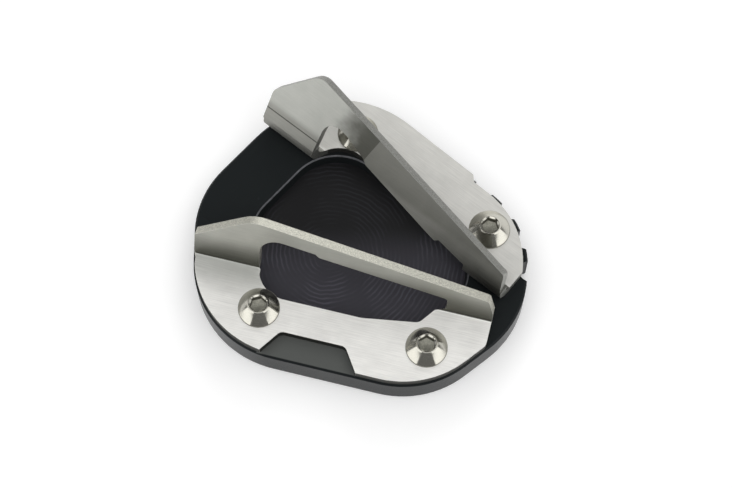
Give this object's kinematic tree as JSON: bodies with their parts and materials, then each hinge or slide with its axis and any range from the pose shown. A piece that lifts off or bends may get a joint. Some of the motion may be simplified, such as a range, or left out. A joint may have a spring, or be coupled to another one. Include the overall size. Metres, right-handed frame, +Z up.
{
  "type": "kickstand foot enlarger",
  "caption": "Motorcycle kickstand foot enlarger: black machined base plate with a foot pocket, two bent brushed-steel clamp plates and button-head screws",
  "frame": {"origin": "on the underside, inside the foot pocket's outline, where the pair of clamps is laid out from", "axes": "+X to the right end of the base plate, +Y away from the front clamp, +Z up from the ground"},
  "size_m": [0.0868, 0.0794, 0.0324],
  "materials": {
    "anodised_base": "black anodised, satin",
    "brushed_plate": "brushed along the bend, blasted cut edges",
    "polished_screw": "polished stainless"
  },
  "bodies": {
    "root": {"base_plate": "anodised_base", "front_clamp": "brushed_plate", "rear_clamp": "brushed_plate", "clamp_screws": "polished_screw"}
  },
  "joints": []
}
